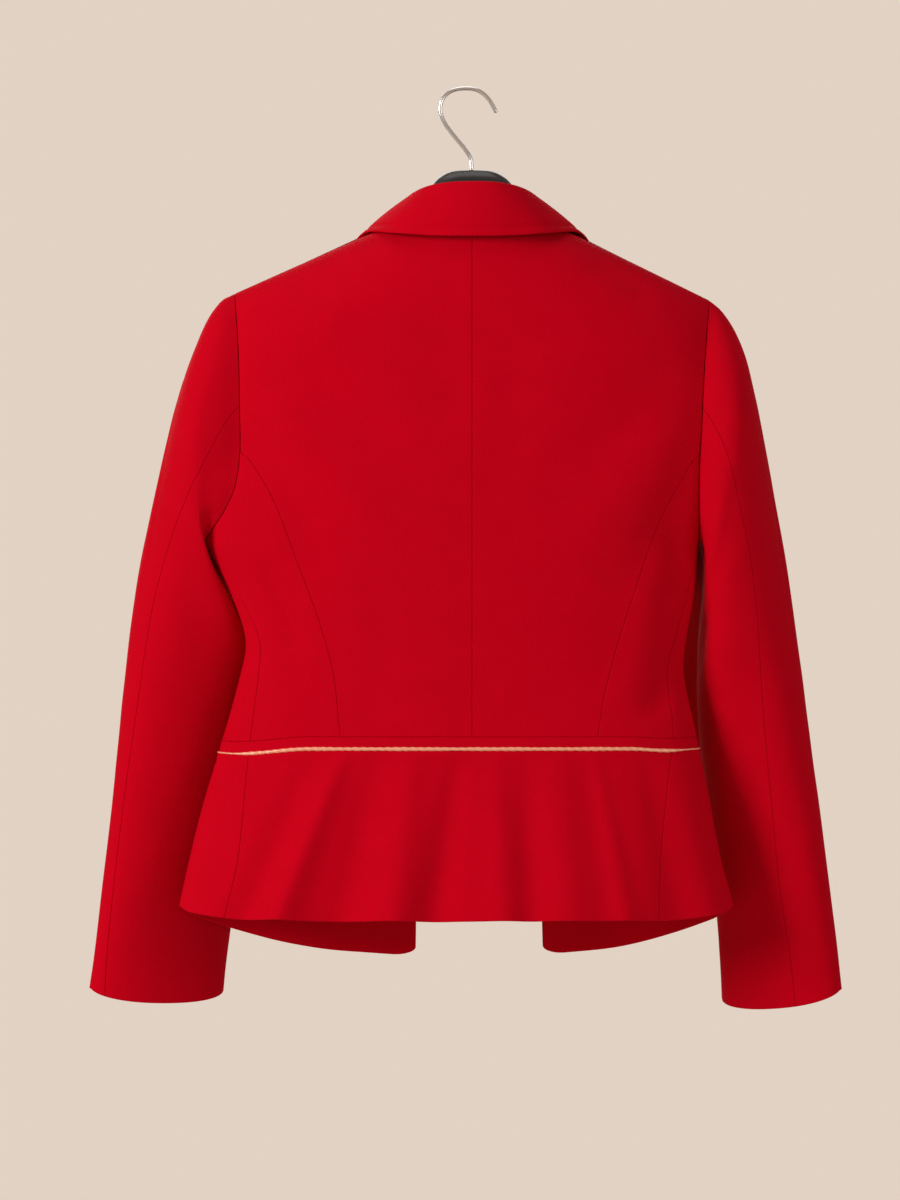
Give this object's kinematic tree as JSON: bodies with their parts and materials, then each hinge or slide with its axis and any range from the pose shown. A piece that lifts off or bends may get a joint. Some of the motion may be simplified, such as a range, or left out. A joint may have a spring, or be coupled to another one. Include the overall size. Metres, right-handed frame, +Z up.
{
  "type": "peplum blazer on a hanger",
  "caption": "Short tailored jacket with a flared peplum, notched collar and gold waist piping, hung open on a contoured hanger with a wire hook.",
  "frame": {"origin": "the inside top of the hook's crown, where the rail carries it", "axes": "+Z up, +Y towards the back of the garment, +X towards the wearer's left"},
  "size_m": [0.6508, 0.1698, 0.7962],
  "materials": {
    "cloth": "smooth matt wool crepe, bright red",
    "piping": "gold metallic corded piping",
    "hanger": "black satin plastic",
    "hook": "polished steel wire"
  },
  "bodies": {
    "root": {"back_left": "cloth", "side_back_left": "cloth", "front_left": "cloth", "lapel_left": "cloth", "sleeve_top_left": "cloth", "sleeve_under_left": "cloth", "peplum_front_left": "cloth", "back_right": "cloth", "side_back_right": "cloth", "front_right": "cloth", "lapel_right": "cloth", "sleeve_top_right": "cloth", "sleeve_under_right": "cloth", "peplum_front_right": "cloth", "collar": "cloth", "waistband": "cloth", "peplum_back": "cloth", "piping": "piping", "hanger": "hanger", "hook": "hook"}
  },
  "joints": []
}
